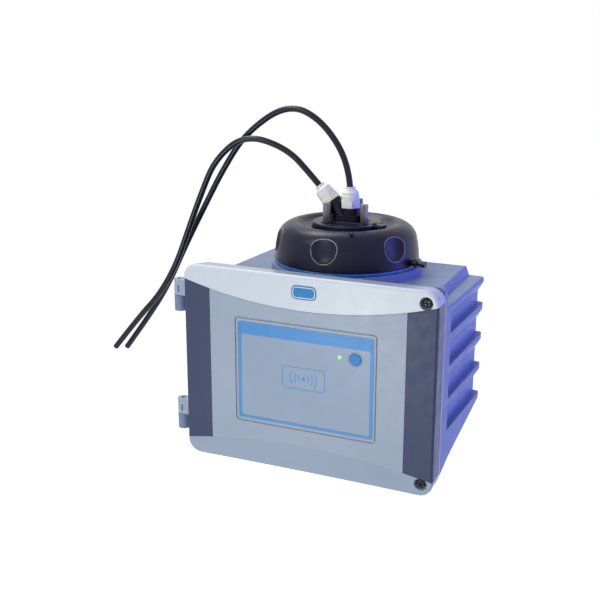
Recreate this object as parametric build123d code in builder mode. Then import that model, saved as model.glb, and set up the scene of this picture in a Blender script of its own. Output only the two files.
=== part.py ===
from build123d import *
import os
from math import cos, pi, radians, sin, tan

os.makedirs("parts", exist_ok=True)

# Wall-mounted turbidity meter, in millimetres. X points right as seen from the front, Y points to
# the wall and Z up. The origin is the centre of the four mounting feet, on the wall's own plane.

# overall sizes and places
body_depth = 165.0  # door face to housing back
wall_gap = 25.0  # length of the feet between the housing back and the wall
mount_height = 112.0  # mount centre above the door's bottom edge
front_y = -(body_depth + wall_gap)
back_y = -wall_gap
base_z = -mount_height

# door
door_width = 257.5
door_height = 196.7
door_depth = 25.0
top_drop = 3.5  # how far the door's top slopes down to its back
side_draft = 1.0  # how far each side closes in to the back
door_corner = 14.0
door_side = 11.0  # side walls of the hollow behind the door's face
opening_half = door_width / 2 - door_side
opening_bottom_z = base_z + 22.0
opening_top_z = base_z + 170.0
opening_corner = 6.0
door_front = 4.5
door_edge = 2.4  # rounding of the edge round the face
door_gap = 1.0  # air between the closed door and the housing's flange
door_back_y = front_y + door_depth
door_mid_z = base_z + door_height / 2

# band, strips and lower bevel on the door's face
band_arc_radius = 452.0
band_arc_z = base_z + 163.3  # lowest point of the band's lower edge
crease_radius = 661.6
crease_z = base_z + 28.0  # highest point of the crease above the lower bevel
bevel_angle = 8.0
strip_width = 28.7
strip_inner_x = door_width / 2 - strip_width
inlay_depth = 1.6
inlay_gap = 0.15
inlay_wrap = 22.0  # how far band and right strip reach back round the door's edge
hinge_wrap = 4.0  # the same for the left strip, in front of the hinge knuckles
band_proud = 1.0

# control panel in the middle of the door
panel_width = 145.8
panel_height = 105.8
panel_corner = 4.0
panel_mid_z = base_z + 96.8
groove_width = 1.3
groove_depth = 1.0
foil_width = 139.4
foil_height = 97.8
foil_thick = 0.5
button_x = 51.6
button_z = base_z + 123.6
button_radius = 5.6
button_travel = 1.0
button_clearance = 0.25
button_proud = 0.7
lens_x = 35.9
lens_radius = 1.9
badge_width = 25.0
badge_height = 13.0
badge_z = base_z + 181.2

# captive door screws
screw_side = 11.5  # from the door's side
screw_x = door_width / 2 - screw_side
screw_margin = 12.0  # from the door's bottom and top edges
screw_head_radius = 4.6
screw_head_height = 3.4
screw_well_radius = 6.2
screw_well_depth = 5.2
screw_shank_radius = 2.4
screw_reach = 5.0  # how far the shank enters the housing's insert
screw_room = 0.7

# hinges
hinge_out = 11.0  # hinge axis outside the door's side
hinge_x = -(door_width / 2 + hinge_out)
hinge_back = 12.0  # hinge axis behind the door's face
hinge_y = front_y + hinge_back
knuckle_radius = 6.2
hinge_tops = (base_z + 177.0, base_z + 52.0)
knuckle_height = 15.7
knuckle_gap = 0.5
pin_radius = 2.5
pin_clearance = 0.06
arm_inner_x = -(door_width / 2 + 2.6)

# housing
flange_width = door_width - 3.0
housing_width = flange_width - 2.0
flange_thick = 5.0
flange_bottom_z = base_z + 4.0
flange_top_z = base_z + 190.0
flange_corner = 12.0
shelf_z = base_z + 172.6
deck_z = base_z + 181.6
deck_front_width = housing_width - 31.0
deck_back_width = housing_width - 40.0
shoulder_run = 3.5
moulded_edge = 2.0  # rounding of the shelf's and the deck's long edges
front_foot_z = base_z + 8.0
break_y = front_y + 60.0
break_z = base_z + 19.5
back_foot_z = base_z + 43.5
side_wall = 10.5
back_wall = 4.0
floor_wall = 5.0
cavity_top_z = base_z + 167.0
back_corner = 4.0
housing_front_y = door_back_y + door_gap

# side ribs
rib_ledges = (base_z + 145.5, base_z + 113.7, base_z + 81.0, base_z + 49.0)
rib_tops = (base_z + 168.0, base_z + 139.5, base_z + 107.5, base_z + 75.0)
rib_slope_rise = 11.0
rib_depth = 6.5
rib_start_y = front_y + 48.0

# head seat
head_y = front_y + 103.0
collar_radius = 75.5
collar_height = 8.0
collar_z = deck_z + collar_height
seat_radius = 62.0
turret_drop = 46.0
well_mouth_radius = 32.0

# mounting feet
mount_x = 80.0
mount_z = 40.0
foot_radius = 9.0
foot_draft = 2.0
insert_radius = 3.4
insert_bore = 2.1
insert_length = 14.0


def facing(y):
    """Sketch plane at depth y: X right, Z up, its normal to the front."""
    return Plane.XZ.offset(-y)


def head_plane(z):
    """Horizontal sketch plane centred on the head's axis at height z."""
    return Plane(origin=(0, head_y, z), x_dir=(1, 0, 0), z_dir=(0, 0, 1))


def profile_plane(seat):
    """Plane through a seat plane's axis, with the seat's radius as x and its height as y."""
    return Plane(origin=seat.origin, x_dir=seat.x_dir, z_dir=-seat.y_dir)


head_profile = Plane(origin=(0, head_y, 0), x_dir=(1, 0, 0), z_dir=(0, -1, 0))
head_axis = Axis((0, head_y, 0), (0, 0, 1))


def write(piece, label):
    """Name a finished piece and write its file."""
    piece.part.label = label
    export_step(piece.part, "parts/" + label + ".step")


# Rear housing: moulded body with a sloped underside, a raised deck, a round seat for the head and
# four shingled ribs on each side.
flange_height = flange_top_z - flange_bottom_z
flange_mid_z = (flange_top_z + flange_bottom_z) / 2
cavity_half = housing_width / 2 - side_wall
seal_width = 3.0
seal_half = opening_half + 4.0
seal_bottom_z = base_z + 18.5
seal_top_z = base_z + 173.5
seal_corner = 8.0
sill_z = base_z + 22.0
seal_groove = 1.4
seal_clearance = 0.3
boss_radius = 5.0
panel_y = housing_front_y + 22.0
panel_thick = 3.0
panel_boss_x = cavity_half - boss_radius
panel_boss_z = (base_z + 40.0, base_z + 158.0)
door_screw_places = [
    (screw_x, base_z + door_height - screw_margin),
    (screw_x, base_z + screw_margin),
]
screw_insert_radius = 5.2
screw_insert_length = 8.0

with BuildPart() as rear_housing:
    with BuildSketch(Plane.YZ):
        with BuildLine():
            Polyline(
                (housing_front_y, shelf_z),
                (back_y, shelf_z),
                (back_y, back_foot_z),
                (break_y, break_z),
                (housing_front_y, front_foot_z),
                close=True,
            )
        make_face()
    extrude(amount=housing_width / 2, both=True)
    fillet(rear_housing.edges().filter_by(Axis.Z).group_by(Axis.Y)[-1], back_corner)
    fillet(rear_housing.edges().group_by(Axis.Z)[-1].sort_by(Axis.Y)[1:], moulded_edge)
    for y, width in ((back_y, deck_back_width), (housing_front_y, deck_front_width)):
        with BuildSketch(facing(y)):
            with BuildLine():
                Polyline(
                    (-width / 2 - shoulder_run, shelf_z - 1),
                    (width / 2 + shoulder_run, shelf_z - 1),
                    (width / 2 + shoulder_run, shelf_z),
                    (width / 2, deck_z),
                    (-width / 2, deck_z),
                    (-width / 2 - shoulder_run, shelf_z),
                    close=True,
                )
            make_face()
    loft(ruled=True)
    fillet(rear_housing.edges().group_by(Axis.Z)[-1].sort_by(Axis.Y)[1:], moulded_edge)
    # front flange behind the door
    with BuildSketch(facing(housing_front_y + flange_thick)):
        with Locations((0, flange_mid_z)):
            RectangleRounded(flange_width, flange_height, flange_corner)
    extrude(amount=flange_thick)
    # round turret under the head, carried past the back wall by a cone
    with BuildSketch(head_profile):
        with BuildLine():
            Polyline(
                (0, deck_z - turret_drop - 18),
                (collar_radius - 20, deck_z - turret_drop - 18),
                (collar_radius, deck_z - turret_drop),
                (collar_radius, collar_z),
                (0, collar_z),
                close=True,
            )
        make_face()
    revolve(axis=head_axis)
    # inside: one cavity that is open to the front
    with BuildSketch(Plane.YZ):
        with BuildLine():
            Polyline(
                (housing_front_y + flange_thick, cavity_top_z),
                (back_y - back_wall, cavity_top_z),
                (back_y - back_wall, back_foot_z + floor_wall),
                (break_y, break_z + floor_wall),
                (housing_front_y + flange_thick, front_foot_z + floor_wall),
                close=True,
            )
        make_face()
    extrude(amount=cavity_half, both=True, mode=Mode.SUBTRACT)
    with BuildSketch(facing(housing_front_y)):
        with Locations((0, (cavity_top_z + sill_z) / 2)):
            RectangleRounded(2 * cavity_half, cavity_top_z - sill_z, seal_corner - seal_width)
    extrude(amount=-flange_thick, mode=Mode.SUBTRACT)
    # seat recess and mouth of the vial well
    with BuildSketch(head_plane(collar_z)):
        Circle(seat_radius)
    extrude(amount=-collar_height, mode=Mode.SUBTRACT)
    with BuildSketch(head_plane(deck_z)):
        Circle(well_mouth_radius)
    extrude(amount=-(deck_z - cavity_top_z), mode=Mode.SUBTRACT)
    # side ribs: recesses of even depth that end abruptly behind the flange
    for side in (-1, 1):
        outer = housing_width / 2
        for ledge, top in zip(rib_ledges, rib_tops):
            with BuildSketch(facing(back_y + 0.5)):
                with BuildLine():
                    Polyline(
                        (side * (outer - rib_depth), ledge),
                        (side * (outer + rib_depth), ledge),
                        (side * (outer + rib_depth), top),
                        (side * outer, top),
                        (side * (outer - rib_depth), top - rib_slope_rise),
                        close=True,
                    )
                make_face()
            extrude(amount=back_y + 0.5 - rib_start_y, mode=Mode.SUBTRACT)
    # bosses for the inner panel
    with BuildSketch(facing(panel_y + panel_thick + 12)):
        with Locations(*[(s * panel_boss_x, z) for s in (-1, 1) for z in panel_boss_z]):
            Circle(boss_radius)
            with Locations(*[(s * boss_radius / 2, 0) for s in (-1, 1)]):
                Rectangle(boss_radius, 2 * boss_radius)
    extrude(amount=12)
    # bosses and seats of the door screws' inserts
    for x, z in door_screw_places:
        toward = 1 if z > 0 else -1
        with BuildSketch(facing(housing_front_y + flange_thick + screw_insert_length)):
            with Locations((x, z)):
                Circle(screw_insert_radius + 2.2)
            with Locations((x, z - toward * screw_insert_radius)):
                Rectangle(2 * screw_insert_radius + 4.4, 2 * screw_insert_radius)
        extrude(amount=screw_insert_length)
        with BuildSketch(facing(housing_front_y)):
            with Locations((x, z)):
                Circle(screw_insert_radius)
        extrude(amount=-screw_insert_length, mode=Mode.SUBTRACT)
    # groove for the door seal
    with BuildSketch(facing(housing_front_y)):
        with Locations((0, (seal_top_z + seal_bottom_z) / 2)):
            RectangleRounded(2 * seal_half, seal_top_z - seal_bottom_z, seal_corner)
            RectangleRounded(
                2 * (seal_half - seal_width),
                seal_top_z - seal_bottom_z - 2 * seal_width,
                seal_corner - seal_width,
                mode=Mode.SUBTRACT,
            )
    extrude(amount=-seal_groove, mode=Mode.SUBTRACT)
    # hinge arms with the lower knuckles
    for top in hinge_tops:
        arm_top = top - knuckle_height - knuckle_gap
        with BuildSketch(Plane.XY.offset(arm_top - knuckle_height)):
            with Locations((hinge_x, hinge_y)):
                Circle(knuckle_radius)
            with BuildLine():
                Polyline(
                    (hinge_x - knuckle_radius, hinge_y),
                    (arm_inner_x, hinge_y),
                    (arm_inner_x, housing_front_y + 0.4),
                    (-flange_width / 2 + 2, housing_front_y + 0.4),
                    (-flange_width / 2 + 2, housing_front_y + 14),
                    (hinge_x, housing_front_y + 14),
                    (hinge_x - knuckle_radius, housing_front_y + 6),
                    close=True,
                )
            make_face()
        extrude(amount=knuckle_height)
        with BuildSketch(Plane.XY.offset(arm_top)):
            with Locations((hinge_x, hinge_y)):
                Circle(pin_radius)
        extrude(amount=-knuckle_height + 2, mode=Mode.SUBTRACT)
    # mounting feet with drafted sides and insert bores
    with BuildSketch(facing(back_y)):
        with GridLocations(2 * mount_x, 2 * mount_z, 2, 2):
            Circle(foot_radius)
    extrude(amount=-wall_gap, taper=foot_draft)
    with BuildSketch(facing(0)):
        with GridLocations(2 * mount_x, 2 * mount_z, 2, 2):
            Circle(insert_radius)
    extrude(amount=insert_length, mode=Mode.SUBTRACT)

write(rear_housing, "rear_housing")

# Cable sockets on the sloped underside, near the back
socket_x = (38.0, 66.0)
socket_y = back_y - 42.0
socket_radius = 7.0
socket_nut_radius = 9.5
slope = (back_foot_z - break_z) / (back_y - break_y)
socket_z = break_z + slope * (socket_y - break_y)
with BuildPart() as cable_sockets:
    for x in socket_x:
        seat = Plane(origin=(x, socket_y, socket_z), x_dir=(1, 0, 0), z_dir=(0, slope, -1))
        with BuildSketch(seat):
            RegularPolygon(socket_nut_radius, 6)
        extrude(amount=5)
        with BuildSketch(seat.offset(5)):
            Circle(socket_radius)
        extrude(amount=9)
        with BuildSketch(seat.offset(14)):
            Circle(socket_radius - 1.6)
        extrude(amount=-3, mode=Mode.SUBTRACT)
write(cable_sockets, "cable_sockets")

# Brass inserts in the four feet
with BuildPart() as mount_inserts:
    with BuildSketch(facing(0)):
        with GridLocations(2 * mount_x, 2 * mount_z, 2, 2):
            Circle(insert_radius)
            Circle(insert_bore, mode=Mode.SUBTRACT)
    extrude(amount=insert_length)
write(mount_inserts, "mount_inserts")

# Brass inserts that take the two door screws
with BuildPart() as door_screw_inserts:
    with BuildSketch(facing(housing_front_y + screw_insert_length)):
        with Locations(*door_screw_places):
            Circle(screw_insert_radius)
            Circle(screw_shank_radius + screw_room, mode=Mode.SUBTRACT)
    extrude(amount=screw_insert_length)
write(door_screw_inserts, "door_screw_inserts")

# Door seal in its groove
with BuildPart() as door_seal:
    with BuildSketch(facing(housing_front_y + seal_groove)):
        with Locations((0, (seal_top_z + seal_bottom_z) / 2)):
            RectangleRounded(2 * seal_half, seal_top_z - seal_bottom_z, seal_corner)
            RectangleRounded(
                2 * (seal_half - seal_width),
                seal_top_z - seal_bottom_z - 2 * seal_width,
                seal_corner - seal_width,
                mode=Mode.SUBTRACT,
            )
    extrude(amount=seal_groove + door_gap - seal_clearance)
write(door_seal, "door_seal")

# Hinge pins, fixed in the lower knuckles
with BuildPart() as hinge_pins:
    for top in hinge_tops:
        with BuildSketch(Plane.XY.offset(top - 2)):
            with Locations((hinge_x, hinge_y)):
                Circle(pin_radius)
        extrude(amount=-(2 * knuckle_height + knuckle_gap - 4))
write(hinge_pins, "hinge_pins")

# Inner panel behind the door, with the pocket that holds the drying cartridge
panel_clearance = 0.4
cartridge_width = 70.0
cartridge_height = 34.0
cartridge_depth = 46.0
cartridge_x = -38.0
cartridge_z = base_z + 58.0
cartridge_clearance = 0.3
pocket_wall = 2.2
panel_bottom_z = base_z + 27.0
panel_top_z = cavity_top_z - panel_clearance
panel_mid = (panel_bottom_z + panel_top_z) / 2
panel_half = cavity_half - panel_clearance
panel_screw_radius = 1.6
screw_places = [(s * panel_boss_x, z) for s in (-1, 1) for z in panel_boss_z]
with BuildPart() as inner_panel:
    with BuildSketch(facing(panel_y + panel_thick)):
        with Locations((0, panel_mid)):
            RectangleRounded(2 * panel_half, panel_top_z - panel_bottom_z, 3)
    extrude(amount=panel_thick)
    with BuildSketch(facing(panel_y + cartridge_depth + pocket_wall)):
        with Locations((cartridge_x, cartridge_z)):
            RectangleRounded(
                cartridge_width + 2 * pocket_wall, cartridge_height + 2 * pocket_wall, 4
            )
    extrude(amount=cartridge_depth + pocket_wall)
    with BuildSketch(facing(panel_y)):
        with Locations((cartridge_x, cartridge_z)):
            RectangleRounded(
                cartridge_width + 2 * cartridge_clearance, cartridge_height + 2 * cartridge_clearance, 3
            )
    extrude(amount=-cartridge_depth, mode=Mode.SUBTRACT)
    with BuildSketch(facing(panel_y)):
        with Locations(*screw_places):
            Circle(panel_screw_radius)
    extrude(amount=-panel_thick, mode=Mode.SUBTRACT)
    # raised ribs that stiffen the panel
    with BuildSketch(facing(panel_y)):
        with Locations(*[(cartridge_x + 88, base_z + z) for z in (60, 75, 90, 105, 120)]):
            SlotOverall(70, 4)
    extrude(amount=1.2)
write(inner_panel, "inner_panel")

with BuildPart() as panel_screws:
    with BuildSketch(facing(panel_y)):
        with Locations(*screw_places):
            Circle(3.2)
    extrude(amount=2)
    with BuildSketch(facing(panel_y)):
        with Locations(*screw_places):
            Circle(panel_screw_radius)
    extrude(amount=-panel_thick)
write(panel_screws, "panel_screws")

# Drying cartridge with a ribbed grip
with BuildPart() as desiccant_cartridge:
    with BuildSketch(facing(panel_y)):
        with Locations((cartridge_x, cartridge_z)):
            RectangleRounded(cartridge_width, cartridge_height, 3)
    extrude(amount=-(cartridge_depth - 1))
    with BuildSketch(facing(panel_y)):
        with Locations((cartridge_x, cartridge_z)):
            RectangleRounded(cartridge_width + 8, cartridge_height + 8, 5)
    extrude(amount=2.5)
    with BuildSketch(facing(panel_y - 2.5)):
        with Locations((cartridge_x, cartridge_z)):
            SlotOverall(46, 12)
    extrude(amount=8)
    with BuildSketch(facing(panel_y - 10.5)):
        with Locations(*[(cartridge_x + d, cartridge_z) for d in (-12, -6, 0, 6, 12)]):
            SlotOverall(9, 2, rotation=90)
    extrude(amount=-1.2, mode=Mode.SUBTRACT)
write(desiccant_cartridge, "desiccant_cartridge")

# Optics: a block on the back wall carries the vial well, the lamp module and the detector
block_half = 42.0
block_low_z = base_z + 98.0
block_high_z = base_z + 128.0
beam_z = (block_low_z + block_high_z) / 2
vial_radius = 12.5
vial_wall = 1.6
vial_nut_radius = vial_radius + 2.5
vial_low_z = base_z + 97.0
well_inner = vial_radius + 3.0
well_outer = well_inner + 5.5
well_wall_clearance = 0.1
well_bottom_z = base_z + 88.0
well_flange = 36.0
well_flange_thick = 4.0
well_floor = 4.0
lamp_radius = 11.0
lamp_length = 34.0
lamp_clearance = 0.1
port_radius = 3.0
with BuildPart() as optics_block:
    with BuildSketch(Plane.XY.offset(block_low_z)):
        with Locations((0, (head_y - block_half + back_y - back_wall) / 2)):
            Rectangle(2 * block_half, back_y - back_wall - head_y + block_half)
    extrude(amount=block_high_z - block_low_z)
    fillet(optics_block.edges().filter_by(Axis.Z).group_by(Axis.Y)[0], 12)
    with BuildSketch(head_plane(block_high_z)):
        Circle(well_outer + well_wall_clearance)
    extrude(amount=block_low_z - block_high_z, mode=Mode.SUBTRACT)
    with BuildSketch(Plane.YZ.offset(-block_half)):
        with Locations((head_y, beam_z)):
            Circle(lamp_radius + lamp_clearance)
    extrude(amount=block_half - well_outer - 6, mode=Mode.SUBTRACT)
    with BuildSketch(Plane.YZ.offset(-block_half)):
        with Locations((head_y, beam_z)):
            Circle(port_radius)
    extrude(amount=2 * block_half, mode=Mode.SUBTRACT)
write(optics_block, "optics_block")

with BuildPart() as vial_well:
    with BuildSketch(head_profile):
        with BuildLine():
            Polyline(
                (0, well_bottom_z),
                (well_outer, well_bottom_z),
                (well_outer, cavity_top_z - well_flange_thick),
                (well_flange, cavity_top_z - well_flange_thick),
                (well_flange, cavity_top_z),
                (well_inner, cavity_top_z),
                (well_inner, well_bottom_z + well_floor),
                (0, well_bottom_z + well_floor),
                close=True,
            )
        make_face()
    revolve(axis=head_axis)
    with BuildSketch(Plane.YZ.offset(-block_half)):
        with Locations((head_y, beam_z)):
            Circle(port_radius)
    extrude(amount=2 * block_half, mode=Mode.SUBTRACT)
write(vial_well, "vial_well")

lamp_inner_x = -(well_outer + 6)
with BuildPart() as light_module:
    with BuildSketch(Plane.YZ.offset(lamp_inner_x)):
        with Locations((head_y, beam_z)):
            Circle(lamp_radius)
            Circle(port_radius + 1, mode=Mode.SUBTRACT)
    extrude(amount=-lamp_length)
    with BuildSketch(Plane.YZ.offset(lamp_inner_x - lamp_length)):
        with Locations((head_y, beam_z)):
            Circle(lamp_radius)
    extrude(amount=-6)
write(light_module, "light_module")

with BuildPart() as beam_lens:
    with BuildSketch(Plane.YZ.offset(lamp_inner_x - 2)):
        with Locations((head_y, beam_z)):
            Circle(port_radius + 1)
    extrude(amount=-3)
write(beam_lens, "beam_lens")

with BuildPart() as detector_board:
    with BuildSketch(Plane.YZ.offset(block_half)):
        with Locations((head_y, beam_z)):
            Rectangle(50, 26)
    extrude(amount=1.6)
    with BuildSketch(Plane.YZ.offset(block_half + 1.6)):
        with Locations((head_y, beam_z)):
            Rectangle(16, 12)
        with Locations(*[(head_y + d, beam_z) for d in (-19, 19)]):
            Circle(2.6)
    extrude(amount=3)
write(detector_board, "detector_board")

# Main board on the right wall
board_x = cavity_half - 6.0
board_thick = 1.6
board_y = (panel_y + panel_thick + 14, back_y - back_wall - 10)
board_z = (base_z + 66, base_z + 150)
board_holes = [(y, z) for y in (board_y[0] + 5, board_y[1] - 5) for z in (board_z[0] + 5, board_z[1] - 5)]
board_mid = (sum(board_y) / 2, sum(board_z) / 2)
with BuildPart() as main_board:
    with BuildSketch(Plane.YZ.offset(board_x)):
        with Locations(board_mid):
            Rectangle(board_y[1] - board_y[0], board_z[1] - board_z[0])
        with Locations(*board_holes):
            Circle(1.6, mode=Mode.SUBTRACT)
    extrude(amount=-board_thick)
    with BuildSketch(Plane.YZ.offset(board_x - board_thick)):
        with Locations((board_mid[0] - 14, board_mid[1] + 12)):
            Rectangle(24, 24)
        with Locations((board_mid[0] + 26, board_mid[1] - 18)):
            Rectangle(30, 14)
        with Locations(*[(board_mid[0] - 24 + 14 * n, board_z[0] + 8) for n in range(4)]):
            Circle(5)
    extrude(amount=-7)
write(main_board, "main_board")

with BuildPart() as board_screws:
    with BuildSketch(Plane.YZ.offset(board_x - board_thick)):
        with Locations(*board_holes):
            Circle(2.8)
    extrude(amount=-2)
    with BuildSketch(Plane.YZ.offset(board_x - board_thick)):
        with Locations(*board_holes):
            Circle(1.6)
    extrude(amount=board_thick)
write(board_screws, "board_screws")

with BuildPart() as board_posts:
    with BuildSketch(Plane.YZ.offset(board_x)):
        with Locations(*board_holes):
            Circle(3.4)
    extrude(amount=cavity_half - board_x)
write(board_posts, "board_posts")

# Seal between the seat's floor and the lifted head
seat_seal_thick = 1.0
with BuildPart() as seat_seal:
    with BuildSketch(head_plane(deck_z)):
        Circle(seat_radius - 1)
        Circle(seat_radius - 7, mode=Mode.SUBTRACT)
    extrude(amount=seat_seal_thick)
write(seat_seal, "seat_seal")

# Door shell: front with a bevelled foot, recesses for band, strips and control panel, and the
# upper knuckles of both hinges
def door_block(rim, front, back):
    """The door's tapered solid between two depths behind its face, drawn smaller by a rim."""
    with BuildPart() as block:
        for depth in (front, back):
            drop = top_drop * depth / door_depth
            draft = side_draft * depth / door_depth
            with BuildSketch(facing(front_y + depth)):
                with Locations((0, door_mid_z - drop / 2)):
                    RectangleRounded(
                        door_width - 2 * rim - 2 * draft,
                        door_height - 2 * rim - drop,
                        door_corner - rim,
                    )
        loft(ruled=True)
    return block.part


def door_skin(proud, wrap):
    """The outermost layer of the door's face and edge, down to a depth behind the face."""
    with BuildPart() as skin:
        add(door_block(0, -proud, wrap))
        fillet(skin.faces().sort_by(Axis.Y)[0].outer_wire().edges(), door_edge)
        add(door_block(inlay_depth, inlay_depth, wrap + inlay_depth), mode=Mode.SUBTRACT)
    return skin.part


def band_inlay(proud, gap):
    """The pale band: everything of the skin above the band's long arc."""
    with BuildPart() as inlay:
        add(door_skin(proud, inlay_wrap - gap))
        with BuildSketch(facing(front_y + inlay_wrap)):
            with Locations((0, band_arc_z + band_arc_radius)):
                Circle(band_arc_radius - gap)
        extrude(amount=inlay_wrap + 2 * band_proud, mode=Mode.INTERSECT)
    return inlay.part


def strip_inlay(side, wrap, gap):
    """One dark side strip: the skin between the band's arc and the crease."""
    with BuildPart() as inlay:
        add(door_skin(0, wrap - gap))
        with BuildSketch(facing(front_y + wrap)):
            with Locations((side * (strip_inner_x + gap + strip_width), door_mid_z)):
                Rectangle(2 * strip_width, door_height)
            with Locations((0, band_arc_z + band_arc_radius)):
                Circle(band_arc_radius + gap, mode=Mode.SUBTRACT)
            with Locations((0, crease_z - crease_radius)):
                Circle(crease_radius + gap, mode=Mode.SUBTRACT)
        extrude(amount=wrap + band_proud, mode=Mode.INTERSECT)
    return inlay.part


def panel_sketch(y, width, height, corner):
    """A rounded rectangle at the control panel's place."""
    with BuildSketch(facing(y)) as drawn:
        with Locations((0, panel_mid_z)):
            RectangleRounded(width, height, corner)
    return drawn


inner_face_y = front_y + door_front
board_gap = 7.0  # door front to antenna board
post_radius = 3.6
antenna_width = 112.0
antenna_height = 76.0
antenna_mid = (4.0, base_z + 102.0)
antenna_holes = [
    (antenna_mid[0] + sx * (antenna_width / 2 - 5), antenna_mid[1] + sz * (antenna_height / 2 - 5))
    for sx in (-1, 1)
    for sz in (-1, 1)
]
bevel_run = 45.0
with BuildPart() as door_shell:
    add(door_block(0, 0, door_depth))
    fillet(door_shell.faces().sort_by(Axis.Y)[0].outer_wire().edges(), door_edge)
    # conical bevel: its edge on the flat face is the long arc of the crease
    with BuildSketch(Plane.YZ):
        with BuildLine():
            Polyline(
                (front_y - 2, crease_z),
                (front_y, crease_z),
                (front_y + bevel_run * tan(radians(bevel_angle)), crease_z - bevel_run),
                (front_y - 2, crease_z - bevel_run),
                close=True,
            )
        make_face()
    revolve(axis=Axis((0, 0, crease_z - crease_radius), (0, 1, 0)), mode=Mode.SUBTRACT)
    # hollow behind the face
    with BuildSketch(facing(door_back_y)):
        with Locations((0, (opening_top_z + opening_bottom_z) / 2)):
            RectangleRounded(2 * opening_half, opening_top_z - opening_bottom_z, opening_corner)
    extrude(amount=door_depth - door_front, mode=Mode.SUBTRACT)
    add(band_inlay(0, 0), mode=Mode.SUBTRACT)
    for side, wrap in ((-1, hinge_wrap), (1, inlay_wrap)):
        add(strip_inlay(side, wrap, 0), mode=Mode.SUBTRACT)
    # groove round the control panel, and the shallow seat of its film
    with BuildSketch(facing(front_y)):
        with Locations((0, panel_mid_z)):
            RectangleRounded(panel_width, panel_height, panel_corner)
            RectangleRounded(
                panel_width - 2 * groove_width,
                panel_height - 2 * groove_width,
                panel_corner - groove_width,
                mode=Mode.SUBTRACT,
            )
    extrude(amount=-groove_depth, mode=Mode.SUBTRACT)
    film_seat = panel_sketch(front_y, foil_width + 2 * inlay_gap, foil_height + 2 * inlay_gap, 3)
    extrude(film_seat.sketch, amount=-foil_thick, mode=Mode.SUBTRACT)
    # button, its collar's recess, and the status light
    with BuildSketch(facing(front_y)):
        with Locations((button_x, button_z)):
            Circle(button_radius + button_clearance)
        with Locations((lens_x, button_z)):
            Circle(lens_radius)
    extrude(amount=-door_front, mode=Mode.SUBTRACT)
    # wells of the door screws
    screw_bore = (door_depth, screw_shank_radius + screw_room)
    for depth, radius in ((screw_well_depth, screw_well_radius), screw_bore):
        with BuildSketch(facing(front_y)):
            with Locations(*door_screw_places):
                Circle(radius)
        extrude(amount=-depth, mode=Mode.SUBTRACT)
    # posts of the antenna board
    with BuildSketch(facing(inner_face_y + board_gap)):
        with Locations(*antenna_holes):
            Circle(post_radius)
    extrude(amount=board_gap)
    # knuckles
    for top in hinge_tops:
        with BuildSketch(Plane.XY.offset(top - knuckle_height)):
            with Locations((hinge_x, hinge_y)):
                Circle(knuckle_radius)
            with BuildLine():
                Polyline(
                    (hinge_x, hinge_y - knuckle_radius),
                    (-door_width / 2 + 3, hinge_y - knuckle_radius),
                    (-door_width / 2 + 3, hinge_y + knuckle_radius),
                    (hinge_x, hinge_y + knuckle_radius),
                    close=True,
                )
            make_face()
        extrude(amount=knuckle_height)
        with BuildSketch(Plane.XY.offset(top)):
            with Locations((hinge_x, hinge_y)):
                Circle(pin_radius + pin_clearance)
        extrude(amount=-knuckle_height, mode=Mode.SUBTRACT)
        with BuildSketch(facing(hinge_y - knuckle_radius)):
            with Locations((hinge_x + 1.5, top - 9)):
                SlotOverall(7, 1.8, rotation=90)
        extrude(amount=-1.4, mode=Mode.SUBTRACT)
write(door_shell, "door_shell")

# Band, strips and control film, each in its recess
badge_recess = 0.8
with BuildPart() as top_band:
    add(band_inlay(band_proud, inlay_gap))
    with BuildSketch(facing(front_y - band_proud)):
        with Locations((0, badge_z)):
            RectangleRounded(badge_width + 2 * inlay_gap, badge_height + 2 * inlay_gap, 5)
    extrude(amount=-badge_recess, mode=Mode.SUBTRACT)
    with BuildSketch(facing(front_y - band_proud)):
        with Locations(door_screw_places[0]):
            Circle(screw_well_radius)
    extrude(amount=-(inlay_depth + band_proud), mode=Mode.SUBTRACT)
write(top_band, "top_band")

with BuildPart() as badge:
    with BuildSketch(facing(front_y - band_proud + badge_recess)):
        with Locations((0, badge_z)):
            RectangleRounded(badge_width, badge_height, 5 - inlay_gap)
    extrude(amount=badge_recess + 0.3)
write(badge, "badge")

for side, wrap, name in ((-1, hinge_wrap, "left_strip"), (1, inlay_wrap, "right_strip")):
    with BuildPart() as strip:
        add(strip_inlay(side, wrap, inlay_gap))
    write(strip, name)

with BuildPart() as front_foil:
    film = panel_sketch(front_y + foil_thick, foil_width, foil_height, 3)
    extrude(film.sketch, amount=foil_thick)
    with BuildSketch(facing(front_y)):
        with Locations((button_x, button_z)):
            Circle(button_radius + button_clearance)
        with Locations((lens_x, button_z)):
            Circle(lens_radius + inlay_gap)
    extrude(amount=-foil_thick, mode=Mode.SUBTRACT)
write(front_foil, "front_foil")

with BuildPart() as status_lens:
    with BuildSketch(facing(inner_face_y)):
        with Locations((lens_x, button_z)):
            Circle(lens_radius)
    extrude(amount=door_front)
write(status_lens, "status_lens")

# Push button with a retaining collar behind the door's front, and the switch behind it
collar_thick = 1.0
with BuildPart() as push_button:
    with BuildSketch(facing(inner_face_y + 0.2)):
        with Locations((button_x, button_z)):
            Circle(button_radius)
    extrude(amount=door_front + 0.2 + button_proud)
    fillet(push_button.faces().sort_by(Axis.Y)[0].edges(), 0.6)
    with BuildSketch(facing(inner_face_y + 0.2 + collar_thick)):
        with Locations((button_x, button_z)):
            Circle(button_radius + 1.4)
    extrude(amount=collar_thick)
write(push_button, "push_button")

board_front_y = inner_face_y + board_gap
switch_gap = 0.3
with BuildPart() as button_switch:
    with BuildSketch(facing(board_front_y)):
        with Locations((button_x, button_z)):
            RectangleRounded(8, 8, 0.6)
    extrude(amount=board_gap - 0.2 - collar_thick - button_travel - switch_gap)
write(button_switch, "button_switch")

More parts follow.
